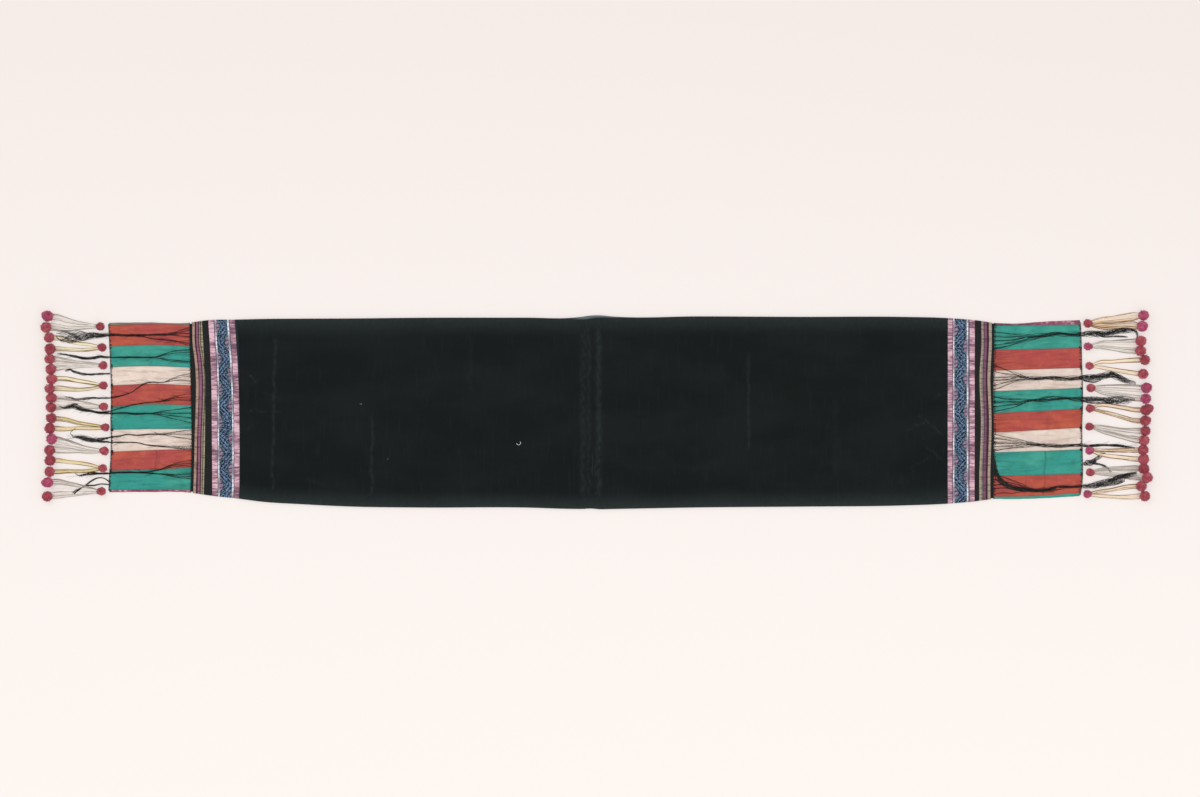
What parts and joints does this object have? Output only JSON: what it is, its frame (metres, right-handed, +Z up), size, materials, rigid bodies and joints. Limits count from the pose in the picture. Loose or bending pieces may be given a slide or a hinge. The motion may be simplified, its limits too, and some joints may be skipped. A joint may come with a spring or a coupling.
{
  "type": "sash",
  "caption": "Long velvet sash laid flat, with woven bands, pieced silk ends, black thread fringe and small pompom tassels.",
  "frame": {"origin": "middle of the underside, where the sash rests on a surface", "axes": "+X along the sash, +Y across it to the upper fold, +Z up out of its face"},
  "size_m": [1.995, 0.3568, 0.0165],
  "materials": {
    "velvet": "black velvet, laid flat, with a soft pile",
    "woven_band": "woven brocade band with blue zigzag and pink, black, tan and magenta stripes",
    "red_silk": "brick red silk with a slight sheen",
    "green_silk": "sea green silk with a slight sheen",
    "cream_silk": "cream silk, puckered at the seams",
    "printed_silk": "magenta silk with a small print",
    "black_thread": "loose black thread",
    "wool": "crimson wool pompoms on white and yellow threads"
  },
  "bodies": {
    "root": {"black_fringe_left": "black_thread", "black_fringe_right": "black_thread", "edge_overcast_left": "black_thread", "edge_overcast_right": "black_thread", "silk_back_left": "red_silk", "silk_back_right": "red_silk", "silk_fold_left_bottom": "printed_silk", "silk_fold_left_top": "green_silk", "silk_fold_right_bottom": "green_silk", "silk_fold_right_top": "printed_silk", "silk_strip_left_1": "red_silk", "silk_strip_left_2": "green_silk", "silk_strip_left_3": "cream_silk", "silk_strip_left_4": "red_silk", "silk_strip_left_5": "green_silk", "silk_strip_left_6": "cream_silk", "silk_strip_left_7": "red_silk", "silk_strip_left_8": "green_silk", "silk_strip_right_1": "green_silk", "silk_strip_right_2": "red_silk", "silk_strip_right_3": "cream_silk", "silk_strip_right_4": "green_silk", "silk_strip_right_5": "red_silk", "silk_strip_right_6": "cream_silk", "silk_strip_right_7": "green_silk", "silk_strip_right_8": "red_silk", "tassel_left_1": "wool", "tassel_left_2": "wool", "tassel_left_3": "wool", "tassel_left_4": "wool", "tassel_left_5": "wool", "tassel_left_6": "wool", "tassel_left_7": "wool", "tassel_left_8": "wool", "tassel_left_9": "wool", "tassel_right_1": "wool", "tassel_right_2": "wool", "tassel_right_3": "wool", "tassel_right_4": "wool", "tassel_right_5": "wool", "tassel_right_6": "wool", "tassel_right_7": "wool", "tassel_right_8": "wool", "tassel_right_9": "wool", "velvet_main": "velvet", "woven_band_left": "woven_band", "woven_band_right": "woven_band"}
  },
  "joints": []
}
